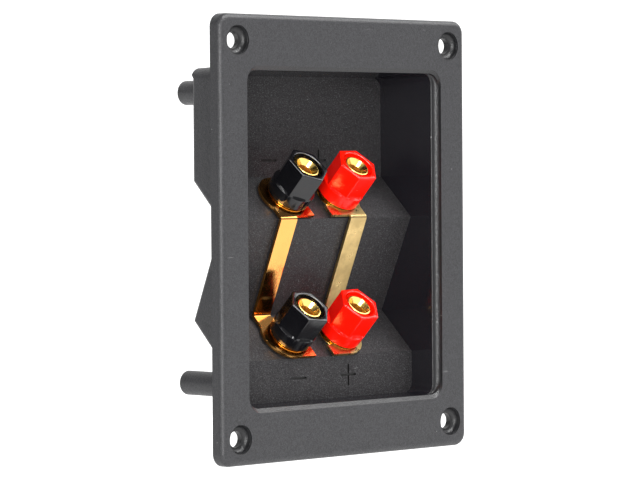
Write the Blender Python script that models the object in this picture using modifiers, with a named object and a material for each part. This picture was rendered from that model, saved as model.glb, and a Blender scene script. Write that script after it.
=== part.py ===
"""Recessed loudspeaker terminal cup: four binding posts on a stepped floor, joined in pairs by flat links.

The plate faces -Y, +X is to the right seen from the front, and +Z is up. The origin is the centre of the
flange's rear face, where it meets the cabinet. Every piece of a post is made about the post's own axis,
with z = 0 on the slope that the post stands on.
"""

from math import asin, cos, pi, radians, sin, tan

import bmesh
import bpy
from mathutils import Matrix, Vector

MM = 0.001

# Flange
FLANGE_W = 93.4 * MM
FLANGE_H = 118.8 * MM
FLANGE_T = 3.8 * MM
FLANGE_CORNER_R = 3.5 * MM
FLANGE_EDGE_R = 1.6 * MM
HOLE_PITCH_X = 80.2 * MM
HOLE_PITCH_Z = 104.8 * MM
HOLE_R = 2.2 * MM
HEAD_R = 3.95 * MM
HEAD_RIM = 0.7 * MM

# Recess: half sizes of its mouth, and the lip that curves in from it
MOUTH_X = 36.95 * MM
MOUTH_Z = 45.8 * MM
MOUTH_CORNER_R = 4.4 * MM
SIDE_LIP_IN = 1.9 * MM
END_LIP_IN = 1.0 * MM
LIP_DEEP = 1.9 * MM
DRAFT = 0.95 * MM
WALL = 2.0 * MM
HOUSING_EDGE_R = 1.6 * MM
HOUSING_CORNER_R = 3.4 * MM

# Stepped floor: y of its deep and shallow planes, and the heights where the two slopes start and end
DEEP_Y = 17.1 * MM
SHALLOW_Y = 5.9 * MM
SLOPE_DROP = DEEP_Y - SHALLOW_Y
UPPER_SLOPE_TOP = 16.1 * MM
LOWER_SLOPE_TOP = -21.6 * MM
SLOPE_TILT = radians(45)

# Standoffs for the crossover board
BOSS_R = 3.3 * MM
BOSS_PILOT_R = 1.3 * MM
BOSS_PILOT_DEEP = 7.0 * MM
BOSS_END_Y = 27.1 * MM
BOSS_X = 30.6 * MM
BOSS_Z = 39.2 * MM

# Polarity marks
MARK_LONG = 6.0 * MM
MARK_WIDE = 0.7 * MM
MARK_DEEP = 0.4 * MM
UPPER_MARK_Z = 20.8 * MM
LOWER_MARK_Z = -38.2 * MM

# Posts: across and up pitch, and how far below the middle of its slope the upper one stands
POST_PITCH_X = 19.05 * MM
POST_PITCH_Z = 38.1 * MM
UPPER_POST_DOWN = 0.63 * MM
FIT = 0.15 * MM
STUD_HOLE_R = 2.7 * MM

COLLAR_R = 5.5 * MM
COLLAR_TOP = 0.4 * MM
COLLAR_CHAMFER = 0.1 * MM
STEM_R = 3.5 * MM
STEM_TOP = 12.95 * MM
SOCKET_R = 2.05 * MM
SOCKET_MOUTH_R = 3.05 * MM
SOCKET_MOUTH_DEEP = 1.5 * MM
SOCKET_END = 0.8 * MM
WIRE_HOLE_R = 1.1 * MM
WIRE_HOLE_Z = 3.75 * MM
REAR_R = 2.5 * MM
REAR_END = -14.0 * MM
REAR_CHAMFER = 0.6 * MM

LINK_LOW = 0.55 * MM
LINK_THICK = 0.8 * MM
LINK_WIDE = 6.0 * MM
LINK_OFFSET = 3.75 * MM
LINK_ARC_R = 7.3 * MM
LINK_ARC_OUT = 0.8 * MM
LINK_SLOT_R = 3.65 * MM
LINK_TIP = 6.1 * MM
LINK_BEND_R = 0.9 * MM
LINK_SLIP = -0.6 * MM

WASHER_LOW = 1.5 * MM
WASHER_TOP = 1.95 * MM
WASHER_R = 5.9 * MM
WASHER_HOLE_R = 3.7 * MM

CAP_LOW = 2.1 * MM
CAP_TOP = 13.45 * MM
CAP_SKIRT_TOP = 5.85 * MM
CAP_R = 6.3 * MM
CAP_ACROSS_FLATS = 10.9 * MM
CAP_BORE_R = 4.45 * MM
CAP_EDGE_R = 0.35 * MM
# How far each cap was turned when it was last tightened, in degrees
CAP_TURNS = {"upper_black": 40, "upper_red": 0, "lower_black": 53, "lower_red": 2}

INSERT_LOW = 4.35 * MM
INSERT_TOP = 11.05 * MM
INSERT_R = 4.3 * MM
INSERT_HOLE_R = 3.65 * MM

REAR_WASHER_R = 4.6 * MM
REAR_WASHER_THICK = 0.8 * MM
TAB_R = 4.4 * MM
TAB_THICK = 0.6 * MM
TAB_LONG = 13.0 * MM
TAB_WIDE = 5.0 * MM
TAB_EYE_R = 1.1 * MM
NUT_ACROSS_FLATS = 8.0 * MM
NUT_TALL = 4.0 * MM

# How finely round shapes are made, and how far a cutter runs past what it cuts
ROUND_STEPS = 40
CAP_STEPS = 48
EDGE_STEPS = 4
BEND_STEPS = 4
CORNER_STEPS = 6
HOLE_STEPS = 24
SMALL_HOLE_STEPS = 16
BOSS_STEPS = 32
LINK_ARC_STEPS = 14
OVERRUN = 2.0 * MM
FLANGE_BORDER = FLANGE_H / 2 - MOUTH_Z
LINK_OVERRUN = 20.0 * MM

BLACK_PLASTIC = ("black_grained_plastic", (0.1, 0.1, 0.105), 0.45, 0.0)
BLACK_GLOSS = ("black_gloss_plastic", (0.012, 0.012, 0.014), 0.15, 0.0)
RED_GLOSS = ("red_gloss_plastic", (0.8, 0.012, 0.006), 0.15, 0.0)
GOLD = ("gold_plate", (0.9, 0.6, 0.2), 0.2, 1.0)
NICKEL = ("nickel_plate", (0.62, 0.6, 0.56), 0.25, 1.0)
TIN = ("tinned_brass", (0.7, 0.7, 0.68), 0.3, 1.0)


def clear_scene():
    for obj in list(bpy.data.objects):
        bpy.data.objects.remove(obj, do_unlink=True)


def new_collection(name):
    collection = bpy.data.collections.new(name)
    bpy.context.scene.collection.children.link(collection)
    return collection


def material(finish):
    name, colour, roughness, metallic = finish
    made = bpy.data.materials.get(name)
    if made is None:
        made = bpy.data.materials.new(name)
        made.use_nodes = True
        shader = made.node_tree.nodes["Principled BSDF"]
        shader.inputs["Base Color"].default_value = (*colour, 1)
        shader.inputs["Roughness"].default_value = roughness
        shader.inputs["Metallic"].default_value = metallic
    return made


def add_object(name, data, collection, parent=None):
    obj = bpy.data.objects.new(name, data)
    collection.objects.link(obj)
    obj.parent = parent
    return obj


def finish_part(obj, finish, smooth_under=30):
    obj.data.materials.clear()
    obj.data.materials.append(material(finish))
    obj.data.shade_smooth()
    obj.data.set_sharp_from_angle(angle=radians(smooth_under))


def as_cutter(obj):
    obj.hide_render = True
    obj.display_type = "WIRE"
    return obj


def boolean(obj, other, operation="DIFFERENCE"):
    modifier = obj.modifiers.new(f"{operation.lower()} {other.name}", "BOOLEAN")
    modifier.operation = operation
    modifier.solver = "EXACT"
    modifier.object = other


def apply_modifiers(obj):
    bpy.context.view_layer.update()
    graph = bpy.context.evaluated_depsgraph_get()
    mesh = bpy.data.meshes.new_from_object(obj.evaluated_get(graph))
    obj.modifiers.clear()
    obj.data = mesh


def arc(centre, radius, start, end, steps):
    """Points round a centre, from one angle in degrees to another, both ends included."""
    turn = [radians(start + (end - start) * i / steps) for i in range(steps + 1)]
    return [Vector((centre[0] + radius * cos(a), centre[1] + radius * sin(a))) for a in turn]


def circle(centre, radius, sides):
    """Points round a whole circle, with no point twice."""
    return arc(centre, radius, 0, 360, sides)[:-1]


def rounded_rectangle(half_x, half_z, radius, steps=CORNER_STEPS):
    """Outline of a rectangle with round corners, anticlockwise seen from -Y."""
    corners = ((1, 1, 0), (-1, 1, 90), (-1, -1, 180), (1, -1, 270))
    points = []
    for side_x, side_z, start in corners:
        centre = (side_x * (half_x - radius), side_z * (half_z - radius))
        points += arc(centre, radius, start, start + 90, steps)
    return points


def loft(name, rings, collection):
    """A closed solid through outlines of the same number of points, each a list of 3-D points."""
    bm = bmesh.new()
    rows = [[bm.verts.new(point) for point in ring] for ring in rings]
    count = len(rows[0])
    for low, high in zip(rows, rows[1:]):
        for i in range(count):
            j = (i + 1) % count
            bm.faces.new((low[i], low[j], high[j], high[i]))
    bm.faces.new(rows[0])
    bm.faces.new(rows[-1])
    bmesh.ops.recalc_face_normals(bm, faces=bm.faces)
    mesh = bpy.data.meshes.new(name)
    bm.to_mesh(mesh)
    bm.free()
    return add_object(name, mesh, collection)


def ring_at(y, half_x, half_z, radius):
    return [(x, y, z) for x, z in rounded_rectangle(half_x, half_z, radius)]


def outline_object(name, points, thickness, collection, holes=()):
    """A flat outline in the XY plane, filled, with its thickness centred on the plane, as a welded mesh."""
    curve = bpy.data.curves.new(name, "CURVE")
    curve.dimensions = "2D"
    curve.fill_mode = "BOTH"
    curve.extrude = thickness / 2
    for outline in (points, *holes):
        spline = curve.splines.new("POLY")
        spline.points.add(len(outline) - 1)
        for spot, (x, y) in zip(spline.points, outline):
            spot.co = (x, y, 0, 1)
        spline.use_cyclic_u = True
    guide = add_object(name + "_outline", curve, collection)
    bpy.context.view_layer.update()
    graph = bpy.context.evaluated_depsgraph_get()
    mesh = bpy.data.meshes.new_from_object(guide.evaluated_get(graph))
    mesh.name = name
    bpy.data.objects.remove(guide, do_unlink=True)
    bm = bmesh.new()
    bm.from_mesh(mesh)
    bmesh.ops.remove_doubles(bm, verts=bm.verts, dist=1e-6)
    bmesh.ops.recalc_face_normals(bm, faces=bm.faces)
    bm.to_mesh(mesh)
    bm.free()
    return add_object(name, mesh, collection)


def turned(name, profile, collection, parent=None, steps=ROUND_STEPS):
    """A solid of revolution about Z from (radius, z) pairs that run down the outside and up the inside."""
    closed = profile[0][0] > 0 and profile[-1][0] > 0
    mesh = bpy.data.meshes.new(name)
    count = len(profile)
    edges = [(i, i + 1) for i in range(count - 1)]
    if closed:
        edges.append((count - 1, 0))
    mesh.from_pydata([(radius, 0, z) for radius, z in profile], edges, [])
    obj = add_object(name, mesh, collection, parent)
    screw = obj.modifiers.new("turn", "SCREW")
    screw.axis = "Z"
    screw.angle = 2 * pi
    screw.steps = steps
    screw.render_steps = steps
    screw.use_merge_vertices = True
    screw.merge_threshold = 1e-6
    apply_modifiers(obj)
    return obj


def cylinder(name, radius, start, end, collection, parent=None, sides=ROUND_STEPS):
    """A round bar between two points."""
    run = end - start
    bm = bmesh.new()
    bmesh.ops.create_cone(
        bm, cap_ends=True, segments=sides, radius1=radius, radius2=radius, depth=run.length
    )
    mesh = bpy.data.meshes.new(name)
    bm.to_mesh(mesh)
    bm.free()
    obj = add_object(name, mesh, collection, parent)
    turn = run.to_track_quat("Z", "Y").to_matrix().to_4x4()
    obj.data.transform(Matrix.Translation((start + end) / 2) @ turn)
    return obj


def block(name, low, high, collection):
    bm = bmesh.new()
    bmesh.ops.create_cube(bm, size=1)
    size = high - low
    bmesh.ops.scale(bm, vec=size, verts=bm.verts)
    bmesh.ops.translate(bm, vec=(low + high) / 2, verts=bm.verts)
    mesh = bpy.data.meshes.new(name)
    bm.to_mesh(mesh)
    bm.free()
    return add_object(name, mesh, collection)


def floor_profile(offset, top, bottom):
    """The stepped floor in (y, z), pushed back by an offset square to each of its faces."""
    line_y = (DEEP_Y, SHALLOW_Y, DEEP_Y, SHALLOW_Y)
    line_z = (
        UPPER_SLOPE_TOP,
        UPPER_SLOPE_TOP - SLOPE_DROP,
        LOWER_SLOPE_TOP,
        LOWER_SLOPE_TOP - SLOPE_DROP,
    )
    line = [Vector((DEEP_Y, top))] + [Vector(p) for p in zip(line_y, line_z)] + [Vector((SHALLOW_Y, bottom))]
    pushed = []
    for i, point in enumerate(line):
        before = line[i] - line[i - 1] if i else line[1] - line[0]
        after = line[i + 1] - line[i] if i + 1 < len(line) else before
        normals = [Vector((-way.y, way.x)).normalized() for way in (before, after)]
        mitre = (normals[0] + normals[1]).normalized()
        pushed.append(point + mitre * (offset / mitre.dot(normals[0])))
    return pushed


def stepped_prism(name, front_y, offset, top, bottom, half_x, collection):
    """The space in front of the stepped floor, from front_y back, as a bar along X."""
    floor = floor_profile(offset, top, bottom)
    outline = [(front_y, top)] + [tuple(point) for point in floor] + [(front_y, bottom)]
    prism = outline_object(name, outline, 2 * half_x, collection)
    stand = Matrix(((0, 0, 1, 0), (1, 0, 0, 0), (0, 1, 0, 0), (0, 0, 0, 1)))
    prism.data.transform(stand)
    return prism


def quarter(count):
    return [radians(90 * i / count) for i in range(count + 1)]


def build_flange(collection):
    rings = [ring_at(0, FLANGE_W / 2, FLANGE_H / 2, FLANGE_CORNER_R)]
    for turn in quarter(EDGE_STEPS):
        inset = FLANGE_EDGE_R * (1 - cos(turn))
        y = -(FLANGE_T - FLANGE_EDGE_R) - FLANGE_EDGE_R * sin(turn)
        rings.append(ring_at(y, FLANGE_W / 2 - inset, FLANGE_H / 2 - inset, FLANGE_CORNER_R - inset))
    return loft("terminal_cup", rings, collection)


def build_recess_cutter(cutters):
    """The mouth, its curved lip and the drafted walls, cut off behind by the stepped floor."""
    rings = [ring_at(-FLANGE_T - OVERRUN, MOUTH_X, MOUTH_Z, MOUTH_CORNER_R)]
    for turn in quarter(EDGE_STEPS):
        share = 1 - cos(turn)
        y = -FLANGE_T + LIP_DEEP * sin(turn)
        rings.append(
            ring_at(y, MOUTH_X - SIDE_LIP_IN * share, MOUTH_Z - END_LIP_IN * share, MOUTH_CORNER_R)
        )
    deep_x = MOUTH_X - SIDE_LIP_IN - DRAFT
    deep_z = MOUTH_Z - END_LIP_IN - DRAFT
    rings.append(ring_at(DEEP_Y + OVERRUN, deep_x, deep_z, MOUTH_CORNER_R))
    funnel = loft("recess_funnel", rings, cutters)
    high = MOUTH_Z + FLANGE_BORDER
    steps = stepped_prism("recess_steps", -FLANGE_T - 2 * OVERRUN, 0, high, -high, MOUTH_X + OVERRUN, cutters)
    boolean(funnel, as_cutter(steps), "INTERSECT")
    apply_modifiers(funnel)
    return as_cutter(funnel)


def round_side_edges(obj, radius):
    """Rounds the edges where the two side walls meet the stepped back."""
    bm = bmesh.new()
    bm.from_mesh(obj.data)
    bm.normal_update()
    chosen = []
    for edge in bm.edges:
        sideways = sorted(abs(face.normal.x) for face in edge.link_faces)
        behind = min(vert.co.y for vert in edge.verts) > 0
        if behind and sideways[0] < 0.2 and sideways[-1] > 0.95:
            chosen.append(edge)
    bmesh.ops.bevel(bm, geom=chosen, offset=radius, segments=2, profile=0.5, affect="EDGES")
    bm.to_mesh(obj.data)
    bm.free()


def build_housing(cutters):
    """The outer shell behind the flange, solid here, with the same steps as the floor."""
    out_x = MOUTH_X - SIDE_LIP_IN - DRAFT / 2 + WALL
    out_z = MOUTH_Z - END_LIP_IN - DRAFT / 2 + WALL
    block_rings = [
        ring_at(-FLANGE_T / 2, out_x, out_z, HOUSING_CORNER_R),
        ring_at(DEEP_Y + WALL + OVERRUN, out_x - DRAFT / 2, out_z - DRAFT / 2, HOUSING_CORNER_R),
    ]
    housing = loft("housing_block", block_rings, cutters)
    high = out_z + OVERRUN
    steps = stepped_prism("housing_steps", -2 * FLANGE_T, WALL, high, -high, out_x + OVERRUN, cutters)
    boolean(housing, as_cutter(steps), "INTERSECT")
    apply_modifiers(housing)
    round_side_edges(housing, HOUSING_EDGE_R)
    return as_cutter(housing)


def build_mark_cutters(cutters):
    """Shallow bars cut in the floor: a minus on the left of each pair of posts and a plus on the right."""
    made = []
    for row, y, z in (("upper", DEEP_Y, UPPER_MARK_Z), ("lower", SHALLOW_Y, LOWER_MARK_Z)):
        for side in (-1, 1):
            centre = Vector((side * POST_PITCH_X / 2, y, z))
            reach = Vector((MARK_LONG / 2, MARK_DEEP, MARK_WIDE / 2))
            name = f"{row}_mark_{'minus' if side < 0 else 'plus'}"
            bar = block(name, centre - reach, centre + reach, cutters)
            if side > 0:
                upright = Vector((MARK_WIDE / 2, MARK_DEEP, MARK_LONG / 2))
                stroke = block(name + "_upright", centre - upright, centre + upright, cutters)
                boolean(bar, as_cutter(stroke), "UNION")
                apply_modifiers(bar)
            made.append(as_cutter(bar))
    return made


def screw_hole_cutter(name, x, z, cutters):
    """A through hole with a short straight rim and a cone under it, for a countersunk screw."""
    rim_low = FLANGE_T - HEAD_RIM
    cone_low = rim_low - (HEAD_R - HOLE_R)
    profile = [
        (0, FLANGE_T + OVERRUN),
        (HEAD_R, FLANGE_T + OVERRUN),
        (HEAD_R, rim_low),
        (HOLE_R, cone_low),
        (HOLE_R, -OVERRUN),
        (0, -OVERRUN),
    ]
    hole = turned(name, profile, cutters, steps=BOSS_STEPS)
    hole.data.transform(Matrix.Translation((x, 0, z)) @ Matrix.Rotation(pi / 2, 4, "X"))
    return as_cutter(hole)


def build_cup(parts, cutters, seats):
    cup = build_flange(parts)
    for side in (-1, 1):
        for level in (-1, 1):
            name = f"screw_hole_{side}_{level}"
            cutter = screw_hole_cutter(name, side * HOLE_PITCH_X / 2, level * HOLE_PITCH_Z / 2, cutters)
            boolean(cup, cutter)
    apply_modifiers(cup)
    boolean(cup, build_housing(cutters), "UNION")
    for side in (-1, 1):
        for level, start_y in ((1, DEEP_Y), (-1, SHALLOW_Y)):
            spot = Vector((side * BOSS_X, start_y + WALL / 2, level * BOSS_Z))
            end = Vector((spot.x, BOSS_END_Y, spot.z))
            tag = f"{'left' if side < 0 else 'right'}_{'upper' if level > 0 else 'lower'}"
            boss = cylinder(f"boss_{tag}", BOSS_R, spot, end, cutters, sides=BOSS_STEPS)
            boolean(cup, as_cutter(boss), "UNION")
            past = end + Vector((0, OVERRUN, 0))
            floor = end - Vector((0, BOSS_PILOT_DEEP, 0))
            pilot = cylinder(f"pilot_{tag}", BOSS_PILOT_R, floor, past, cutters, sides=SMALL_HOLE_STEPS)
            boolean(cup, as_cutter(pilot))
    boolean(cup, build_recess_cutter(cutters))
    for mark in build_mark_cutters(cutters):
        boolean(cup, mark)
    for name, seat in seats.items():
        up = seat.matrix_world.to_3x3() @ Vector((0, 0, 1))
        base = seat.matrix_world.translation
        hole = cylinder(
            f"{name}_stud_hole",
            STUD_HOLE_R,
            base - up * 2 * WALL,
            base + up * WALL,
            cutters,
            sides=HOLE_STEPS,
        )
        boolean(cup, as_cutter(hole))
    apply_modifiers(cup)
    finish_part(cup, BLACK_PLASTIC, 24)


def build_stud(name, seat, parts, cutters):
    """Collar, hollow front stem with its plug socket and wire hole, and the threaded rear end, in one bar."""
    profile = [
        (0, STEM_TOP),
        (STEM_R, STEM_TOP),
        (STEM_R, COLLAR_TOP),
        (COLLAR_R - COLLAR_CHAMFER, COLLAR_TOP),
        (COLLAR_R, COLLAR_TOP - COLLAR_CHAMFER),
        (COLLAR_R, FIT),
        (REAR_R, FIT),
        (REAR_R, REAR_END + REAR_CHAMFER),
        (REAR_R - REAR_CHAMFER, REAR_END),
        (0, REAR_END),
    ]
    bar = turned(name, profile, parts, seat)
    socket = turned(
        name + "_socket",
        [
            (0, STEM_TOP + OVERRUN),
            (SOCKET_MOUTH_R, STEM_TOP + OVERRUN),
            (SOCKET_MOUTH_R, STEM_TOP),
            (SOCKET_R, STEM_TOP - SOCKET_MOUTH_DEEP),
            (SOCKET_R, SOCKET_END),
            (0, SOCKET_END - SOCKET_R / 2),
        ],
        cutters,
        seat,
    )
    boolean(bar, as_cutter(socket))
    reach = Vector((0, STEM_R + OVERRUN, 0))
    middle = Vector((0, 0, WIRE_HOLE_Z))
    wire = cylinder(name + "_wire_hole", WIRE_HOLE_R, middle - reach, middle + reach, cutters, seat, SMALL_HOLE_STEPS)
    boolean(bar, as_cutter(wire))
    apply_modifiers(bar)
    finish_part(bar, GOLD)


def build_ring(name, seat, parts, low, top, outer, inner, finish, steps=ROUND_STEPS):
    ring = turned(name, [(inner, top), (outer, top), (outer, low), (inner, low)], parts, seat, steps)
    finish_part(ring, finish)


def hexagon(across_flats, start):
    """Corners of a hexagon about the origin, the first at an angle in degrees."""
    return arc((0, 0), across_flats / 2 / cos(pi / 6), start, start + 300, 5)


def build_cap(name, seat, turn, finish, parts, cutters):
    """A round bar with a bore and a rounded rim, whose upper part is cut to a hexagon above the skirt."""
    rim = [
        (CAP_R - CAP_EDGE_R * (1 - sin(a)), CAP_TOP - CAP_EDGE_R * (1 - cos(a))) for a in quarter(3)
    ]
    profile = [(CAP_BORE_R, CAP_TOP)] + rim + [(CAP_R, CAP_LOW), (CAP_BORE_R, CAP_LOW)]
    cap = turned(name, profile, parts, seat, steps=CAP_STEPS)
    outer = circle((0, 0), CAP_R + OVERRUN, HOLE_STEPS)
    tall = CAP_TOP - CAP_SKIRT_TOP + OVERRUN
    collar = outline_object(name + "_flats", outer, tall, cutters, (hexagon(CAP_ACROSS_FLATS, turn),))
    collar.parent = seat
    collar.data.transform(Matrix.Translation((0, 0, CAP_SKIRT_TOP + tall / 2)))
    boolean(cap, as_cutter(collar))
    apply_modifiers(cap)
    finish_part(cap, finish)


def build_tab(name, seat, side, parts):
    """A solder tab: an eye round the stud, and a tongue with a wire hole that points away from the other post."""
    low = -WALL - FIT - REAR_WASHER_THICK - FIT - TAB_THICK
    spread = asin(TAB_WIDE / 2 / TAB_R) * 180 / pi
    neck = arc((0, 0), TAB_R, spread, 360 - spread, HOLE_STEPS)
    end_r = TAB_WIDE / 2
    tip = arc((TAB_LONG - end_r, 0), end_r, -90, 90, SMALL_HOLE_STEPS // 2)
    eye = circle((0, 0), REAR_R + FIT, HOLE_STEPS)
    wire_eye = circle((TAB_LONG - end_r, 0), TAB_EYE_R, SMALL_HOLE_STEPS)
    tab = outline_object(name, neck + tip, TAB_THICK, parts, (eye, wire_eye))
    tab.parent = seat
    turn = Matrix.Rotation(0 if side > 0 else pi, 4, "Z")
    tab.data.transform(Matrix.Translation((0, 0, low + TAB_THICK / 2)) @ turn)
    finish_part(tab, TIN)


def build_nut(name, seat, parts):
    top = -WALL - FIT - REAR_WASHER_THICK - FIT - TAB_THICK - FIT
    hole = circle((0, 0), REAR_R + FIT, HOLE_STEPS)
    nut = outline_object(name, hexagon(NUT_ACROSS_FLATS, 0), NUT_TALL, parts, (hole,))
    nut.parent = seat
    nut.data.transform(Matrix.Translation((0, 0, top - NUT_TALL / 2)))
    finish_part(nut, NICKEL)


def build_post(name, seat, side, cap_finish, parts, cutters):
    build_stud(f"{name}_stud", seat, parts, cutters)
    build_ring(f"{name}_clamp_washer", seat, parts, WASHER_LOW, WASHER_TOP, WASHER_R, WASHER_HOLE_R, GOLD)
    build_cap(f"{name}_cap", seat, CAP_TURNS[name], cap_finish, parts, cutters)
    build_ring(f"{name}_cap_insert", seat, parts, INSERT_LOW, INSERT_TOP, INSERT_R, INSERT_HOLE_R, GOLD)
    top = -WALL - FIT
    low = top - REAR_WASHER_THICK
    build_ring(f"{name}_rear_washer", seat, parts, low, top, REAR_WASHER_R, REAR_R + FIT, NICKEL)
    build_tab(f"{name}_solder_tab", seat, side, parts)
    build_nut(f"{name}_rear_nut", seat, parts)


def post_seats(parts):
    """An empty for each post, on its slope, with local Z out along the post and local X along world X."""
    out = Vector((0, -sin(SLOPE_TILT), cos(SLOPE_TILT)))
    down = Vector((0, -cos(SLOPE_TILT), -sin(SLOPE_TILT)))
    middle_y = (DEEP_Y + SHALLOW_Y) / 2
    upper = Vector((0, middle_y, UPPER_SLOPE_TOP - SLOPE_DROP / 2)) + down * UPPER_POST_DOWN
    lower_middle = Vector((0, middle_y, LOWER_SLOPE_TOP - SLOPE_DROP / 2))
    lower_down = (lower_middle.z - (upper.z - POST_PITCH_Z)) / sin(SLOPE_TILT)
    lower = lower_middle + down * lower_down
    seats = {}
    for row, base in (("upper", upper), ("lower", lower)):
        for polarity, side in (("black", -1), ("red", 1)):
            seat = add_object(f"{row}_{polarity}_seat", None, parts)
            seat.location = base + Vector((side * POST_PITCH_X / 2, 0, 0))
            seat.rotation_euler = (SLOPE_TILT, 0, 0)
            seats[f"{row}_{polarity}"] = seat
    bpy.context.view_layer.update()
    return seats, out


def bent_path(corners, radius, steps):
    """A line through the corners with each bend rounded, as points and their distances along it."""
    points = [corners[0]]
    for before, corner, after in zip(corners, corners[1:], corners[2:]):
        into, away = (before - corner).normalized(), (after - corner).normalized()
        half = into.angle(away) / 2
        centre = corner + (into + away).normalized() * (radius / sin(half))
        start = (corner + into * (radius / tan(half)) - centre).normalized()
        end = (corner + away * (radius / tan(half)) - centre).normalized()
        for i in range(steps + 1):
            points.append(centre + start.slerp(end, i / steps) * radius)
    points.append(corners[-1])
    reach = [0]
    for a, b in zip(points, points[1:]):
        reach.append(reach[-1] + (b - a).length)
    return points, reach


def link_blank(length):
    """Outline of a link laid flat, as (outward, along) from the upper post, with its hooks open inwards."""
    slot = LINK_SLOT_R
    inner = LINK_OFFSET - LINK_WIDE / 2
    outer = LINK_OFFSET + LINK_WIDE / 2
    meet = asin((outer - LINK_ARC_OUT) / LINK_ARC_R)
    start = 90 - meet * 180 / pi
    upper = (LINK_ARC_OUT, 0)
    lower = (LINK_ARC_OUT, length)
    points = arc(upper, LINK_ARC_R, -90, start, LINK_ARC_STEPS)
    points += arc(lower, LINK_ARC_R, -start, 90, LINK_ARC_STEPS)
    points += [(-LINK_TIP, length + LINK_ARC_R), (-LINK_TIP, length + slot)]
    points += arc(lower, slot, 90, -90, LINK_ARC_STEPS)
    points += [(-LINK_TIP, length - slot), (-LINK_TIP, length - LINK_ARC_R)]
    points += [(inner, length - LINK_ARC_R), (inner, LINK_ARC_R)]
    points += [(-LINK_TIP, LINK_ARC_R), (-LINK_TIP, slot)]
    points += arc(upper, slot, 90, -90, LINK_ARC_STEPS)
    points += [(-LINK_TIP, -slot), (-LINK_TIP, -LINK_ARC_R)]
    return points


def build_link(name, side, seats, out, parts):
    """A flat blank cut to shape, then bent along the slopes and the steep floor between them."""
    middle = LINK_LOW + LINK_THICK / 2
    line = floor_profile(-middle, MOUTH_Z, -MOUTH_Z)
    polarity = "black" if side < 0 else "red"
    ends = [seats[f"{row}_{polarity}"].location + out * middle for row in ("upper", "lower")]
    corners = [Vector((end.y, end.z)) for end in ends]
    corners[1:1] = [line[2], line[3]]
    flat = [Vector((0, y, z)) for y, z in corners]
    path, reach = bent_path(flat, LINK_BEND_R, BEND_STEPS)
    # The hooks run past both ends of the path, along its first and last straights.
    blank = outline_object(name, link_blank(reach[-1]), 0, parts)
    path = [path[0] - (path[1] - path[0]).normalized() * LINK_OVERRUN] + path[1:-1]
    path.append(flat[-1] + (flat[-1] - flat[-2]).normalized() * LINK_OVERRUN)
    reach = [-LINK_OVERRUN] + reach[1:-1] + [reach[-1] + LINK_OVERRUN]
    bm = bmesh.new()
    bm.from_mesh(blank.data)
    for along in reach[1:-1]:
        whole = list(bm.verts) + list(bm.edges) + list(bm.faces)
        bmesh.ops.bisect_plane(bm, geom=whole, dist=1e-6, plane_co=(0, along, 0), plane_no=(0, 1, 0))
    centre_x = side * POST_PITCH_X / 2 + LINK_SLIP
    for vert in bm.verts:
        outward, along = vert.co.x, vert.co.y
        step = next(i for i in range(1, len(reach)) if along <= reach[i] + 1e-6 or i + 1 == len(reach))
        share = (along - reach[step - 1]) / (reach[step] - reach[step - 1])
        spot = path[step - 1].lerp(path[step], share)
        vert.co = (centre_x + side * outward, spot.y, spot.z)
    bmesh.ops.recalc_face_normals(bm, faces=bm.faces)
    bm.to_mesh(blank.data)
    bm.free()
    skin = blank.modifiers.new("thickness", "SOLIDIFY")
    skin.thickness = LINK_THICK
    skin.offset = 0
    skin.use_even_offset = True
    apply_modifiers(blank)
    finish_part(blank, GOLD)


def main():
    clear_scene()
    parts = new_collection("terminal_cup_assembly")
    cutters = new_collection("cutters")
    seats, out = post_seats(parts)
    build_cup(parts, cutters, seats)
    for name, seat in seats.items():
        side = -1 if name.endswith("black") else 1
        build_post(name, seat, side, BLACK_GLOSS if side < 0 else RED_GLOSS, parts, cutters)
    build_link("black_link", -1, seats, out, parts)
    build_link("red_link", 1, seats, out, parts)


main()
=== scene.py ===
"""The finished look of a loudspeaker terminal cup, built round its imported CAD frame.

The plate faces -Y, +X is to the right seen from the front, and +Z is up. Every piece of a binding post is
made about the post's own axis, with z = 0 on the slope that the post stands on. It is laid out as an add-on:
each operator makes one kind of piece, and main() runs them all in order.
"""

from math import asin, atan2, cos, floor, pi, radians, sin, tan

import bmesh
import bpy
from bpy.props import FloatProperty, FloatVectorProperty, IntProperty, PointerProperty
from mathutils import Matrix, Vector


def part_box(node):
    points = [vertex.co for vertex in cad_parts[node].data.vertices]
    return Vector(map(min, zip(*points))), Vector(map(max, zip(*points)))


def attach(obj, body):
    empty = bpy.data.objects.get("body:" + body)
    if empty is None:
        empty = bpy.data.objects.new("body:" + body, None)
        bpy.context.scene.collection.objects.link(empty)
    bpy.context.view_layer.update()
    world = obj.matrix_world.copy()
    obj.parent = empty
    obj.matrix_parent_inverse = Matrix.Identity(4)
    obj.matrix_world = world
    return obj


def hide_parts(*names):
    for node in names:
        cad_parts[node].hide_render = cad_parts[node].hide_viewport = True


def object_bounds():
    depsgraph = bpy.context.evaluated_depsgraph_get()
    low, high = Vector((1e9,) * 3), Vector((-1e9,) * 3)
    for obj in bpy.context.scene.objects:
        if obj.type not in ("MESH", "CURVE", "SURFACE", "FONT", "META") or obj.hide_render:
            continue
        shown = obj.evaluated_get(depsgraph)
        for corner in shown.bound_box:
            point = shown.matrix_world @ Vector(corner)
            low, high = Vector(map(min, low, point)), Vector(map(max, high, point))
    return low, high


bl_info = {
    "name": "Loudspeaker terminal cup",
    "version": (1, 0, 0),
    "blender": (4, 5, 0),
    "location": "View3D > Sidebar > Terminal cup",
    "description": "Builds a recessed terminal cup with four binding posts and two links",
    "category": "Object",
}

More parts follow.
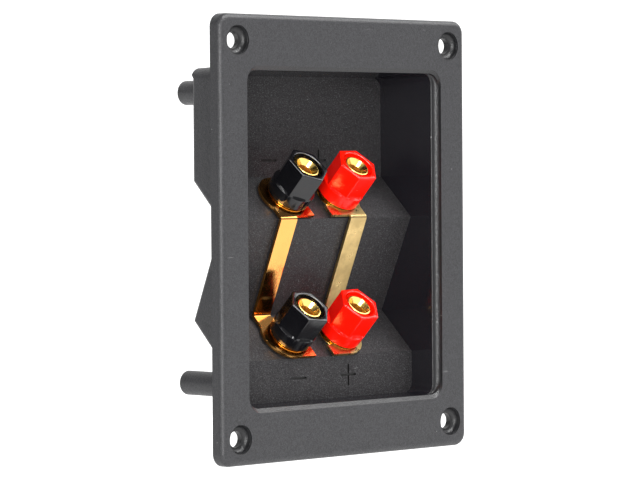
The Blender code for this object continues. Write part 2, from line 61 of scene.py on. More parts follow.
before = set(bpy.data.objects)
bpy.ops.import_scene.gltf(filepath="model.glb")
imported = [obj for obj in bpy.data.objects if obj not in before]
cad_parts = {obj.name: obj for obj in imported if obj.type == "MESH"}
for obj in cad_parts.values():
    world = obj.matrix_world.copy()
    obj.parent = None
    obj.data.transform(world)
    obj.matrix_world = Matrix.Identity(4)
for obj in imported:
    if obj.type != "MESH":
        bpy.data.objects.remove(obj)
LOADED_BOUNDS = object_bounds()

MM = 0.001
OVERRUN = 2 * MM
CLOSE = 1e-7
ROUND_STEPS = 3
EDGE_STEPS = 8
RIDGE_STEPS = 4
CORNER_STEPS = 4
BEND_STEPS = 7
HOOK_STEPS = 32
HOLE_SIDES = 40
LEVELS_PER_TURN = 6
# How much of a face's normal runs along X at the housing's back, at most, and at its sides, at least
BACK_FACING, SIDE_FACING = 0.2, 0.95
DUST = (0.3, 0.3, 0.3, 1)
# How far round the side lip's hollow, in steps of an eighth, the chamfer at the top and bottom ends
LIP_END_TURN = radians(22.5)
OUT = Vector((0, -sin(radians(45)), cos(radians(45))))
ROWS = ("upper", "lower")
POLARITIES = ("black", "red")
POSTS = tuple(f"{row}_{polarity}" for row in ROWS for polarity in POLARITIES)


# Settings


def length(name, default, description):
    """A distance setting, given here in millimetres."""
    sizes = {"default": default * MM, "unit": "LENGTH", "subtype": "DISTANCE", "precision": 5}
    return FloatProperty(name=name, description=description, **sizes)


def colour(name, default, description):
    """A colour setting, as linear red, green and blue."""
    limits = {"size": 3, "min": 0, "max": 1, "subtype": "COLOR", "precision": 4}
    return FloatVectorProperty(name=name, description=description, default=default, **limits)


def angle_of(name, default, description):
    """An angle setting, given here in degrees."""
    return FloatProperty(name=name, description=description, default=radians(default), subtype="ANGLE")


class CupSettings(bpy.types.PropertyGroup):
    """Sizes of the one-piece moulding: flange, recess and stepped housing"""

    width: length("Width", 93.4, "Width of the flange")
    height: length("Height", 118.8, "Height of the flange")
    thickness: length("Thickness", 3.8, "Thickness of the flange")
    corner: length("Corner", 3.5, "Radius of the flange's corners")
    edge: length("Edge", 1.6, "Radius along the flange's front edge")
    hole_pitch_x: length("Hole pitch across", 80.2, "Distance between screw holes, across")
    hole_pitch_z: length("Hole pitch up", 104.8, "Distance between screw holes, up")
    hole: length("Hole", 2.2, "Radius of a screw hole's straight part")
    head: length("Head", 3.95, "Radius of a screw hole's rim")
    head_rim: length("Rim depth", 0.55, "Depth of the straight rim above the bowl")
    head_ledge: length("Rim ledge", 0.18, "Width of the ledge between the rim and the bowl")
    mouth_x: length("Mouth half width", 36.95, "Half the width of the recess's mouth")
    mouth_z: length("Mouth half height", 45.8, "Half the height of the recess's mouth")
    mouth_corner: length("Mouth corner", 4.4, "Radius of the mouth's corners")
    wall_corner: length("Wall corner", 2.9, "Radius of the corners between the recess's walls")
    lip_side: length("Lip at the sides", 1.9, "How far the lip comes in at the two sides")
    lip_end: length("Lip at the ends", 1.15, "How far the chamfer comes in at top and bottom")
    lip_deep: length("Lip depth", 1.9, "How far back the lip's hollow curve goes")
    lip_ledge: length("Lip ledge", 0.1, "Width of the flat between the lip's hollow and its inner edge")
    lip_edge: length("Lip edge", 0.35, "Radius of the lip's inner edge")
    draft: length("Draft", 0.95, "How much a recess wall leans in from lip to back")
    wall: length("Wall", 2.0, "Thickness of the moulding's walls")
    housing_edge: length("Housing edge", 1.6, "Radius where the housing's sides meet its stepped back")
    housing_corner: length("Housing corner", 3.4, "Radius of the housing's long corners")
    deep: length("Deep wall", 17.1, "How far behind the flange's rear the deep wall is")
    shallow: length("Shallow panel", 5.9, "How far behind the flange's rear the lower panel is")
    upper_slope: length("Upper slope", 16.1, "Height where the upper slope starts")
    lower_slope: length("Lower slope", -21.6, "Height where the lower slope starts")
    ridge: length("Ridge", 0.28, "Radius of the ridges and valleys of the floor")
    boss: length("Standoff", 3.3, "Radius of a standoff")
    boss_hole: length("Standoff hole", 1.3, "Radius of a standoff's pilot hole")
    boss_hole_deep: length("Standoff hole depth", 7.0, "Depth of a standoff's pilot hole")
    boss_end: length("Standoff end", 27.1, "How far behind the flange's rear the standoffs end")
    boss_x: length("Standoff across", 30.6, "Distance of a standoff from the middle, across")
    boss_z: length("Standoff up", 39.2, "Distance of a standoff from the middle, up")
    mark_long: length("Mark length", 6.0, "Length of a polarity mark's bar")
    mark_wide: length("Mark width", 0.62, "Width of a polarity mark's bar")
    mark_deep: length("Mark depth", 0.4, "Depth of a polarity mark")
    upper_mark: length("Upper marks", 20.8, "Height of the upper pair's marks")
    lower_mark: length("Lower marks", -38.2, "Height of the lower pair's marks")


class PostSettings(bpy.types.PropertyGroup):
    """Sizes of a binding post, along its axis from the slope and across it"""

    pitch: length("Pitch", 19.05, "Distance between a pair of posts")
    hole: length("Hole", 2.7, "Radius of the hole in the slope")
    collar: length("Collar", 5.5, "Radius of the stud's collar")
    collar_low: length("Collar foot", 0.15, "Height of the collar's underside")
    collar_top: length("Collar top", 0.4, "Height of the collar's upper side")
    stem: length("Stem", 3.5, "Radius of the stud's stem")
    stem_top: length("Stem top", 12.95, "Height of the stem's open end")
    funnel: length("Funnel", 3.08, "Radius of the plug socket's mouth")
    funnel_deep: length("Funnel depth", 1.5, "Depth of the plug socket's mouth")
    socket: length("Socket", 2.05, "Radius of the plug socket")
    socket_end: length("Socket end", 0.8, "Height where the plug socket ends")
    stem_pitch: length("Stem pitch", 1.0, "Pitch of the stem's thread")
    wire_hole: length("Wire hole", 1.1, "Radius of the hole across the stem")
    wire_hole_z: length("Wire hole height", 3.75, "Height of the hole across the stem")
    tail: length("Tail", 2.5, "Radius of the stud's rear end")
    tail_end: length("Tail end", -14.0, "Height of the stud's rear end")
    tail_pitch: length("Tail pitch", 0.8, "Pitch of the rear thread")
    washer: length("Clamp washer", 5.55, "Radius of the clamp washer")
    washer_hole: length("Washer hole", 3.7, "Radius of the clamp washer's hole")
    washer_low: length("Washer foot", 1.5, "Height of the clamp washer's underside")
    washer_top: length("Washer top", 1.95, "Height of the clamp washer's upper side")
    cap: length("Cap", 6.3, "Radius of the cap's skirt")
    cap_low: length("Cap foot", 1.99, "Height of the cap's underside")
    cap_top: length("Cap top", 13.45, "Height of the cap's face")
    cap_flats: length("Cap flats", 10.9, "Distance across the cap's flats")
    cap_skirt: length("Skirt edge", 5.62, "Height of the skirt's upper edge")
    cap_foot: length("Flat foot", 6.02, "Height where the cap's flats start")
    cap_bore: length("Cap bore", 4.45, "Radius of the cap's bore")
    cap_edge: length("Cap edge", 0.27, "Radius of the edges round the cap's face")
    cap_corner: length("Cap corner", 0.3, "Radius of the cap's six upright edges")
    insert: length("Insert", 4.3, "Radius of the cap's threaded insert")
    insert_hole: length("Insert hole", 3.65, "Radius of the insert's hole")
    insert_low: length("Insert foot", 4.35, "Height of the insert's lower end")
    insert_top: length("Insert top", 11.05, "Height of the insert's upper end")
    rear_top: length("Rear washer face", -2.15, "Height of the rear washer's face against the moulding")
    rear_washer: length("Rear washer", 4.6, "Radius of the rear washer")
    rear_washer_thick: length("Rear washer thickness", 0.8, "Thickness of the rear washer")
    rear_gap: length("Rear gap", 0.15, "Clearance between the pieces behind the moulding")
    tab: length("Tab eye", 4.4, "Radius of the solder tab round the stud")
    tab_thick: length("Tab thickness", 0.6, "Thickness of the solder tab")
    tab_long: length("Tab length", 13.0, "Length of the solder tab from the stud's axis")
    tab_wide: length("Tab width", 5.0, "Width of the solder tab's tongue")
    tab_eye: length("Wire eye", 1.1, "Radius of the hole in the solder tab's tongue")
    nut_flats: length("Nut flats", 8.0, "Distance across the rear nut's flats")
    nut_tall: length("Nut height", 4.0, "Height of the rear nut")
    cap_turns: FloatVectorProperty(
        name="Cap turns",
        description="How far each cap was turned when tightened, in the order of the posts",
        size=4,
        default=(radians(40), radians(0), radians(53), radians(2)),
        subtype="EULER",
        unit="ROTATION",
    )


class LinkSettings(bpy.types.PropertyGroup):
    """Sizes of the two bent strips that join an upper post to the one below it"""

    low: length("Foot", 0.55, "Height of a link's underside above the slope")
    thick: length("Thickness", 0.8, "Thickness of the strip")
    wide: length("Width", 6.0, "Width of the strip between the hooks")
    offset: length("Offset", 3.75, "How far outward of the posts the strip's middle runs")
    hook: length("Hook", 7.3, "Radius of a hook's round outer side")
    hook_out: length("Hook centre", 0.8, "How far outward of the post a hook is centred")
    slot: length("Slot", 3.65, "Radius of the slot that takes the stud")
    tip: length("Tip", 6.1, "How far inward of the post a hook's two prongs reach")
    bend: length("Bend", 0.9, "Radius of the strip's bends")
    slip: length("Slip", -0.6, "How far both links lie to the right of their posts")
    edge: length("Edge", 0.09, "Radius of the strip's edges")


class FinishSettings(bpy.types.PropertyGroup):
    """Base colours of the plastics and the plated metals"""

    moulding: colour("Moulding", (0.022, 0.022, 0.024), "The flange and the housing")
    floor: colour("Recess floor", (0.016, 0.015, 0.016), "The stepped floor of the recess")
    lip: colour("Lip", (0.007, 0.007, 0.008), "The lip and the screw bowls")
    walls: colour("Recess walls", (0.009, 0.0085, 0.011), "The polished side walls of the recess")
    # The marks' near-black colour is painted shade: it darkens the grooves as if they lay in shadow.
    marks: colour("Marks", (0.002, 0.002, 0.002), "The grooves of the polarity marks")
    black_cap: colour("Black caps", (0.004, 0.004, 0.005), "The two black caps")
    red_cap: colour("Red caps", (0.97, 0.006, 0.001), "The two red caps")
    gold: colour("Turned gold", (0.97, 0.7, 0.21), "The studs, clamp washers and inserts")
    socket: colour("Socket gold", (0.97, 0.66, 0.17), "The inside of the plug sockets")
    black_link: colour("Polished gold", (0.86, 0.42, 0.115), "The link between the black posts")
    red_link: colour("Satin gold", (0.64, 0.46, 0.2), "The link between the red posts")
    nickel: colour("Nickel", (0.62, 0.6, 0.56), "The rear washers and nuts")
    tin: colour("Tin", (0.72, 0.71, 0.68), "The solder tabs")


class StudioSettings(bpy.types.PropertyGroup):
    """Camera, lights and floor"""

    lens: FloatProperty(name="Lens", description="Focal length in millimetres", default=180.96)
    distance: length("Distance", 863.1, "From the camera to the point it looks at")
    target: FloatVectorProperty(
        name="Target",
        description="The point the camera looks at",
        default=(-10.57 * MM, -3.8 * MM, -0.61 * MM),
        subtype="XYZ",
        unit="LENGTH",
    )
    yaw: angle_of("Yaw", 44.49, "Turn of the view about Z")
    pitch: angle_of("Pitch", 1.4, "How far down the view looks")
    roll: angle_of("Roll", -0.4, "Roll of the view")
    surroundings: FloatProperty(name="Surroundings", description="Strength of the grey room", default=0.32)
    white: FloatProperty(name="White", description="Strength of the lit floor and backdrop", default=1.03)
    floor_size: length("Floor", 6000, "Side of the floor")
    seed: IntProperty(name="Seed", description="Shifts every speckle pattern", default=3)


# Shapes


def arc(centre, radius, start, end, steps):
    """Points round a centre in the XY plane, from one angle to another in degrees, both ends included."""
    turn = [radians(start + (end - start) * i / steps) for i in range(steps + 1)]
    return [Vector((centre[0] + radius * cos(a), centre[1] + radius * sin(a), 0)) for a in turn]


def circle(centre, radius, sides):
    return arc(centre, radius, 0, 360, sides)[:-1]


def quarter(steps):
    return [radians(90 * i / steps) for i in range(steps + 1)]


def rounded(corners, radii, steps, closed=False):
    """A line through the corners in the XY plane, with each one rounded to its own radius."""
    line = []
    count = len(corners)
    for i, corner in enumerate(corners):
        radius = radii[i]
        if radius == 0 or not closed and i in (0, count - 1):
            line.append(corner.copy())
            continue
        into = (corners[i - 1] - corner).normalized()
        away = (corners[(i + 1) % count] - corner).normalized()
        half = into.angle(away) / 2
        centre = corner + (into + away).normalized() * (radius / sin(half))
        start = (corner + into * (radius / tan(half)) - centre).normalized()
        end = (corner + away * (radius / tan(half)) - centre).normalized()
        line += [centre + start.slerp(end, k / steps) * radius for k in range(steps + 1)]
    return line


def new_object(name, mesh):
    obj = bpy.data.objects.new(name, mesh)
    bpy.context.scene.collection.objects.link(obj)
    return obj


def mesh_object(name, bm):
    mesh = bpy.data.meshes.new(name)
    bm.to_mesh(mesh)
    bm.free()
    return new_object(name, mesh)


def loft(name, rings, closed=False, rows=None):
    """A solid through rings of the same number of points. A closed one runs back to its first ring.

    rows holds the material number of the band that starts at each ring.
    """
    bm = bmesh.new()
    made = [[bm.verts.new(point) for point in ring] for ring in rings]
    pairs = list(zip(made, made[1:])) + ([(made[-1], made[0])] if closed else [])
    for number, (low, high) in enumerate(pairs):
        for i in range(len(low)):
            j = (i + 1) % len(low)
            face = bm.faces.new((low[i], low[j], high[j], high[i]))
            face.material_index = rows[number] if rows else 0
    if not closed:
        bm.faces.new(made[0])
        bm.faces.new(made[-1])
    bmesh.ops.remove_doubles(bm, verts=bm.verts, dist=CLOSE)
    bmesh.ops.recalc_face_normals(bm, faces=bm.faces)
    return mesh_object(name, bm)


def thread_radius(thread, angle, z):
    """How far a thread stands off its cylinder at an angle and height, fading out at both its ends."""
    phase = z / thread["pitch"] - angle / (2 * pi)
    wave = 1 - abs(2 * (phase - floor(phase)) - 1)
    fade = min(1, (z - thread["start"]) / thread["pitch"], (thread["end"] - z) / thread["pitch"])
    return thread["depth"] * min(1, 1.25 * wave) * max(0, fade)


def thread_on(radius, start, end, pitch, depth):
    return {"radius": radius, "start": start, "end": end, "pitch": pitch, "depth": depth}


def lathe(name, profile, sides=64, threads=(), inner=None):
    """A solid of revolution about Z from (radius, height, rounding) corners.

    It runs down the outside and up the inside, and closes on itself unless it starts on the axis. inner tells
    from a band's first radius and height whether it takes the second material.
    """
    closed = profile[0][0] > 0
    corners = [Vector((radius, z, 0)) for radius, z, _ in profile]
    line = rounded(corners, [rounding for _, _, rounding in profile], ROUND_STEPS, closed)
    for thread in threads:
        line = with_levels(line, thread)
    turns = [2 * pi * i / sides for i in range(sides)]
    rings = []
    for radius, z, _ in line:
        here = [t for t in threads if abs(radius - t["radius"]) < CLOSE and t["start"] <= z <= t["end"]]
        reaches = [(radius + sum(thread_radius(t, turn, z) for t in here), turn) for turn in turns]
        rings.append([Vector((reach * cos(turn), reach * sin(turn), z)) for reach, turn in reaches])
    rows = [int(inner(radius, z)) for radius, z, _ in line] if inner else None
    return loft(name, rings, closed, rows)


def pin(name, radius, low, high, sides, place):
    """A plain round bar about Z, moved to its place."""
    bar = lathe(name, [(0, high, 0), (radius, high, 0), (radius, low, 0), (0, low, 0)], sides)
    bar.data.transform(place)
    return bar


def with_levels(line, thread):
    """The profile with enough levels in each turn of the thread to show it."""
    step = thread["pitch"] / LEVELS_PER_TURN
    out = []
    following = line[1:] + line[:1]
    for point, after in zip(line, following):
        out.append(point)
        if max(abs(point.x - thread["radius"]), abs(after.x - thread["radius"])) >= CLOSE:
            continue
        low, high = sorted((point.y, after.y))
        low, high = max(low, thread["start"]), min(high, thread["end"])
        count = max(0, int((high - low) / step))
        levels = [low + (high - low) * k / count for k in range(count + 1)] if count else []
        if after.y < point.y:
            levels.reverse()
        out += [Vector((thread["radius"], z, 0)) for z in levels if point.y != z != after.y]
    return out


def evaluated_mesh(obj):
    bpy.context.view_layer.update()
    return bpy.data.meshes.new_from_object(obj.evaluated_get(bpy.context.evaluated_depsgraph_get()))


def plate(name, outline, thickness, holes=()):
    """A flat outline with holes in the XY plane, with its thickness centred on the plane."""
    curve = bpy.data.curves.new(name, "CURVE")
    curve.dimensions = "2D"
    curve.fill_mode = "BOTH"
    curve.extrude = thickness / 2
    for points in (outline, *holes):
        spline = curve.splines.new("POLY")
        spline.points.add(len(points) - 1)
        for spot, point in zip(spline.points, points):
            spot.co = (point.x, point.y, 0, 1)
        spline.use_cyclic_u = True
    guide = new_object(name + "_outline", curve)
    mesh = evaluated_mesh(guide)
    bpy.data.objects.remove(guide, do_unlink=True)
    bpy.data.curves.remove(curve)
    bm = bmesh.new()
    bm.from_mesh(mesh)
    bpy.data.meshes.remove(mesh)
    bmesh.ops.remove_doubles(bm, verts=bm.verts, dist=1e-6)
    bmesh.ops.dissolve_limit(bm, angle_limit=radians(0.5), verts=bm.verts, edges=bm.edges)
    bmesh.ops.recalc_face_normals(bm, faces=bm.faces)
    return mesh_object(name, bm)


def apply_modifiers(obj):
    mesh = evaluated_mesh(obj)
    old = obj.data
    obj.modifiers.clear()
    obj.data = mesh
    bpy.data.meshes.remove(old)


def cut(obj, tool, operation="DIFFERENCE"):
    """Joins a tool to the object, or takes it away, with the tool's own materials, and drops the tool."""
    modifier = obj.modifiers.new(operation.lower(), "BOOLEAN")
    modifier.operation = operation
    modifier.solver = "EXACT"
    modifier.material_mode = "TRANSFER"
    modifier.object = tool
    apply_modifiers(obj)
    bpy.data.objects.remove(tool, do_unlink=True)


def paint(obj, *materials):
    for material in materials:
        obj.data.materials.append(material)
    return obj


def round_edges(obj, width, angle=40):
    bevel = obj.modifiers.new("edges", "BEVEL")
    bevel.width = width
    bevel.segments = 2
    bevel.limit_method = "ANGLE"
    bevel.angle_limit = radians(angle)
    apply_modifiers(obj)


def finish_piece(obj, node, body, sharp=32, post=None):
    """Smooth shading, and the piece's place in the frame, on its post if it has one."""
    if post:
        obj.matrix_world = seat(post)
    obj.data.shade_smooth()
    obj.data.set_sharp_from_angle(angle=radians(sharp))
    weighted = obj.modifiers.new("normals", "WEIGHTED_NORMAL")
    weighted.keep_sharp = True
    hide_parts(node)
    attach(obj, body)


def seat(name):
    """Where a post stands: its local Z runs out along the post, and its local X along world X."""
    low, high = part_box(f"{name}_clamp_washer")
    post = bpy.context.scene.cup_post
    base = (low + high) / 2 - OUT * (post.washer_low + post.washer_top) / 2
    return Matrix.Translation(base) @ Matrix.Rotation(radians(45), 4, "X")


# Surfaces


class Term:
    """A shader socket that takes part in sums, so that a pattern is written as a formula."""

    def __init__(self, finish, socket):
        self.finish = finish
        self.socket = socket

    def calculate(self, operation, *values):
        return self.finish.node("ShaderNodeMath", {"operation": operation}, dict(enumerate(values)))

    def __add__(self, other):
        return self.calculate("ADD", self, other)

    __radd__ = __add__

    def __sub__(self, other):
        return self.calculate("SUBTRACT", self, other)

    def __rsub__(self, other):
        return self.calculate("SUBTRACT", other, self)

    def __mul__(self, other):
        return self.calculate("MULTIPLY", self, other)

    __rmul__ = __mul__

    def __gt__(self, other):
        return self.calculate("GREATER_THAN", self, other)

    def __lt__(self, other):
        return self.calculate("LESS_THAN", self, other)

    def ramp(self, low, high, to_low=0, to_high=1):
        """Spread evenly from one range on to another, and held at its ends."""
        values = {0: self, 1: low, 2: high, 3: to_low, 4: to_high}
        return self.finish.node("ShaderNodeMapRange", {"clamp": True}, values)


class Finish:
    """A material with one Principled shader, and short ways to put patterns on it."""

    def __init__(self, name, colour, **constants):
        self.material = bpy.data.materials.new(name)
        self.material.use_nodes = True
        self.tree = self.material.node_tree
        self.shader = self.tree.nodes["Principled BSDF"]
        self.colour = (*colour, 1)
        self.shader.inputs["Base Color"].default_value = self.colour
        for socket, value in constants.items():
            self.shader.inputs[socket.replace("_", " ").title()].default_value = value
        self.place = self.node("ShaderNodeTexCoord", output="Object")

    def node(self, kind, settings=(), inputs=(), output=0):
        made = self.tree.nodes.new(kind)
        for key, value in dict(settings).items():
            setattr(made, key, value)
        for key, value in dict(inputs).items():
            self.feed(made.inputs[key], value)
        return Term(self, made.outputs[output])

    def feed(self, socket, value):
        if isinstance(value, Term):
            self.tree.links.new(value.socket, socket)
        else:
            socket.default_value = value

    def moved(self, scale=(1, 1, 1), shift=0):
        """The object's own coordinates, stretched and shifted."""
        inputs = {"Vector": self.place, "Scale": scale, "Location": (shift, shift / 2, -shift)}
        return self.node("ShaderNodeMapping", {}, inputs)

    def noise(self, scale, detail=2.0, roughness=0.5, stretch=(1, 1, 1), shift=0):
        place = self.moved(stretch, shift)
        inputs = {"Vector": place, "Scale": scale, "Detail": detail, "Roughness": roughness}
        return self.node("ShaderNodeTexNoise", {}, inputs)

    def cells(self, scale, shift=0, output="Distance"):
        inputs = {"Vector": self.moved(shift=shift), "Scale": scale}
        return self.node("ShaderNodeTexVoronoi", {}, inputs, output)

    def specks(self, scale, size, share, shift=0):
        """Round specks in some of the cells of a grid: 1 on a speck and 0 off it."""
        near = self.cells(scale, shift=shift) < size
        colours = self.cells(scale, shift, "Color")
        picked = self.node("ShaderNodeSeparateColor", {}, {0: colours})
        return near * (picked < share)

    def mix(self, factor, first, second):
        """A colour between two others. Inputs 6 and 7 and output 2 are the node's colour sockets."""
        inputs = {0: factor, 6: first, 7: second}
        return self.node("ShaderNodeMix", {"data_type": "RGBA"}, inputs, 2)

    def shade(self, **sockets):
        for socket, value in sockets.items():
            self.feed(self.shader.inputs[socket.replace("_", " ").title()], value)

    def bump(self, height, distance, strength):
        inputs = {"Height": height, "Distance": distance, "Strength": strength}
        return self.node("ShaderNodeBump", {}, inputs)


def lighter(colour, share):
    return tuple(min(1, channel * share) for channel in colour[:3]) + (1,)


def grained_plastic(name, colour, shine, painted_glint_share, seed):
    """Fine-grained dark grey moulding with painted glints (light grey specks painted into the colour in place
    of highlights), a few specks of dust and light scuffs.
    """
    finish = Finish(name, colour)
    finish.shader.inputs["Specular IOR Level"].default_value = shine
    fine = finish.noise(3300, 2, 0.6, shift=seed)
    coarse = finish.noise(1500, 2, 0.55, shift=seed + 1)
    grain = fine * 0.65 + coarse * 0.35
    dust = finish.specks(900, 0.13, 0.008, seed)
    # Painted glints: a noise mask of small specks that stand in for highlights caught by the grain.
    painted_glints = finish.noise(4200, 1, 0.5, shift=seed + 6).ramp(0.56, 0.74) * painted_glint_share
    scuffs = finish.noise(900, 3, 0.6, (0.12, 1, 1), seed + 2).ramp(0.72, 0.78)
    marks = dust * 0.5 + scuffs * 0.25
    base = finish.mix(grain.ramp(0.38, 0.62), lighter(finish.colour, 0.65), lighter(finish.colour, 1.35))
    # The painted glints lighten the base colour towards light grey, as painted highlights.
    base = finish.mix(painted_glints, base, (0.16, 0.16, 0.17, 1))
    finish.shade(
        base_color=finish.mix(marks, base, DUST),
        roughness=grain.ramp(0.35, 0.65, 0.5, 0.36),
        normal=finish.bump(grain, 0.00022, 0.55),
    )
    return finish.material


def lip_plastic(colour, seed):
    """The same moulding where it is glossier and the grain is faint, on the lip and in the screw bowls."""
    finish = Finish("moulded_lip", colour)
    grain = finish.noise(2400, 2, 0.6, shift=seed + 4)
    dust = finish.specks(600, 0.16, 0.03, seed)
    finish.shade(
        base_color=finish.mix(dust * 0.4, finish.colour, DUST),
        roughness=grain.ramp(0.35, 0.65, 0.44, 0.3),
        normal=finish.bump(grain, 0.00022, 0.55),
    )
    return finish.material


def glossy_plastic(colour, seed):
    """The polished side walls of the recess, with dust on them."""
    finish = Finish("moulded_gloss", colour)
    waves = finish.noise(160, 2, 0.5, shift=seed)
    dust = finish.specks(420, 0.13, 0.05, seed + 3)
    finish.shade(
        base_color=finish.mix(dust * 0.5, finish.colour, DUST),
        roughness=waves.ramp(0.3, 0.7, 0.07, 0.14) + dust * 0.3,
        normal=finish.bump(waves, 0.0002, 0.25),
    )
    return finish.material


def cap_plastic(name, colour, dusty, shine, seed):
    """Glossy moulded cap, with a faint ripple, hairline scratches and dust."""
    finish = Finish(name, colour)
    finish.shader.inputs["Specular IOR Level"].default_value = shine
    ripple = finish.noise(240, 2, 0.5, shift=seed)
    hairs = finish.noise(600, 3, 0.6, (8, 8, 0.3), seed).ramp(0.66, 0.74)
    dust = finish.specks(900, 0.12, 0.02, seed)
    finish.shade(
        base_color=finish.mix(dust * dusty, finish.colour, (0.45, 0.45, 0.45, 1)),
        roughness=ripple.ramp(0.3, 0.7, 0.12, 0.2) + hairs * 0.12,
        normal=finish.bump(ripple, 0.00035, 0.2),
    )
    return finish.material


def turned_gold(colour, seed):
    """Gold plate on a turned piece, with the tool's fine rings showing through."""
    finish = Finish("gold_turned", colour, metallic=1.0)
    rings = finish.noise(900, 2, 0.6, (0.05, 0.05, 5), seed)
    cloud = finish.noise(300, 3, 0.5, shift=seed)
    finish.shade(
        base_color=finish.mix(cloud.ramp(0.35, 0.65), finish.colour, (0.93, 0.6, 0.17, 1)),
        roughness=rings.ramp(0.3, 0.7, 0.14, 0.26),
        normal=finish.bump(rings, 0.00004, 0.35),
    )
    return finish.material


def bored_gold(colour, seed):
    """Gold plate inside a drilled socket, duller than outside and streaked along the bore."""
    finish = Finish("gold_bored", colour, metallic=1.0)
    streaks = finish.noise(1500, 2, 0.6, (1, 1, 0.04), seed)
    finish.shade(
        base_color=finish.mix(streaks.ramp(0.4, 0.6), finish.colour, (0.78, 0.4, 0.06, 1)),
        roughness=streaks.ramp(0.3, 0.7, 0.36, 0.5),
        normal=finish.bump(streaks, 0.0001, 0.5),
    )
    return finish.material


def strip_gold(name, colour, dull, mottled, seed):
    """Gold plate on a pressed strip, from polished to satin."""
    finish = Finish(name, colour, metallic=1.0)
    cloud = finish.noise(260, 4, 0.6, shift=seed)
    rolled = finish.noise(700, 3, 0.6, (6, 0.4, 0.4), seed)
    pits = finish.specks(1100, 0.2, 0.05, seed)
    height = cloud * 0.7 + rolled * 0.3
    stain = cloud.ramp(0.38, 0.62) * mottled + pits * 0.25
    finish.shade(
        base_color=finish.mix(stain, finish.colour, lighter(colour, 0.72)),
        roughness=cloud.ramp(0.35, 0.65, dull * 0.75, dull * 1.3) + rolled * 0.04,
        normal=finish.bump(height, 0.0003, 0.12 + 0.35 * mottled),
    )
    return finish.material


def bright_metal(name, colour, roughness, seed):
    """Nickel or tin plate, with a soft cloudy sheen."""
    finish = Finish(name, colour, metallic=1.0)
    cloud = finish.noise(420, 3, 0.6, shift=seed)
    finish.shade(
        base_color=finish.mix(cloud.ramp(0.35, 0.65), finish.colour, lighter(colour, 0.82)),
        roughness=cloud.ramp(0.3, 0.7, roughness * 0.8, roughness * 1.3),
        normal=finish.bump(cloud, 0.0002, 0.2),
    )
    return finish.material


# The moulding


def rectangle_ring(y, half_x, half_z, radius, steps=10):
    """Outline of a rectangle with round corners, anticlockwise seen from -Y."""
    ring = []
    for side_x, side_z, start in ((1, 1, 0), (-1, 1, 90), (-1, -1, 180), (1, -1, 270)):
        centre = (side_x * (half_x - radius), side_z * (half_z - radius))
        ring += [Vector((point.x, y, point.y)) for point in arc(centre, radius, start, start + 90, steps)]
    return ring


def flange_blank(cup):
    half_x, half_z = cup.width / 2, cup.height / 2
    rings = [rectangle_ring(0, half_x, half_z, cup.corner)]
    for turn in quarter(EDGE_STEPS):
        inset = cup.edge * (1 - cos(turn))
        y = -(cup.thickness - cup.edge) - cup.edge * sin(turn)
        rings.append(rectangle_ring(y, half_x - inset, half_z - inset, cup.corner - inset))
    return loft("terminal_cup_moulding", rings)


def floor_line(cup, offset, top, bottom):
    """The stepped floor in (y, z), pushed back by an offset square to each of its faces."""
    drop = cup.deep - cup.shallow
    line = [
        Vector((cup.deep, top, 0)),
        Vector((cup.deep, cup.upper_slope, 0)),
        Vector((cup.shallow, cup.upper_slope - drop, 0)),
        Vector((cup.deep, cup.lower_slope, 0)),
        Vector((cup.shallow, cup.lower_slope - drop, 0)),
        Vector((cup.shallow, bottom, 0)),
    ]
    pushed = []
    for i, point in enumerate(line):
        before = point - line[i - 1] if i else line[1] - point
        after = line[i + 1] - point if i + 1 < len(line) else before
        normals = [Vector((-way.y, way.x, 0)).normalized() for way in (before, after)]
        mitre = (normals[0] + normals[1]).normalized()
        pushed.append(point + mitre * (offset / mitre.dot(normals[0])))
    return pushed


def steps_tool(name, cup, front, offset, reach, half_x, radius):
    """The space in front of the stepped floor, as a bar along X with its ridges and valleys rounded."""
    line = floor_line(cup, offset, reach, -reach)
    ridged = rounded(line, [radius] * len(line), RIDGE_STEPS)
    outline = [Vector((front, reach, 0)), *ridged, Vector((front, -reach, 0))]
    prism = plate(name, outline, 2 * half_x)
    prism.data.transform(Matrix(((0, 0, 1, 0), (1, 0, 0, 0), (0, 1, 0, 0), (0, 0, 0, 1))))
    return prism


def recess_tool(cup, gloss, lip, grain):
    """The mouth, its hollow lip and the leaning walls, cut off behind by the stepped floor."""
    front = -cup.thickness
    rings = [rectangle_ring(front - OVERRUN, cup.mouth_x, cup.mouth_z, cup.mouth_corner)]
    rows = [1]
    flat = cup.lip_ledge + cup.lip_edge
    for turn in quarter(EDGE_STEPS):
        half_x = cup.mouth_x - (cup.lip_side - flat) * (1 - cos(turn))
        half_z = cup.mouth_z - cup.lip_end * min(1, sin(turn) / sin(LIP_END_TURN))
        corner = cup.mouth_corner + (cup.wall_corner - cup.mouth_corner) * sin(turn)
        rings.append(rectangle_ring(front + cup.lip_deep * sin(turn), half_x, half_z, corner))
        rows.append(1)
    for turn in quarter(4):
        half_x = cup.mouth_x - cup.lip_side + cup.lip_edge * (1 - sin(turn))
        y = front + cup.lip_deep + cup.lip_edge * (1 - cos(turn))
        rings.append(rectangle_ring(y, half_x, cup.mouth_z - cup.lip_end, cup.wall_corner))
        rows.append(1)
    rows[-1] = 0
    deep_x = cup.mouth_x - cup.lip_side - cup.draft
    deep_z = cup.mouth_z - cup.lip_end - cup.draft
    rings.append(rectangle_ring(cup.deep + OVERRUN, deep_x, deep_z, cup.wall_corner))
    tool = paint(loft("recess", rings, rows=rows), gloss, lip)
    half_x = cup.mouth_x + OVERRUN
    steps = steps_tool("recess_steps", cup, front - 2 * OVERRUN, 0, cup.height / 2, half_x, cup.ridge)
    cut(tool, paint(steps, grain), "INTERSECT")
    return tool


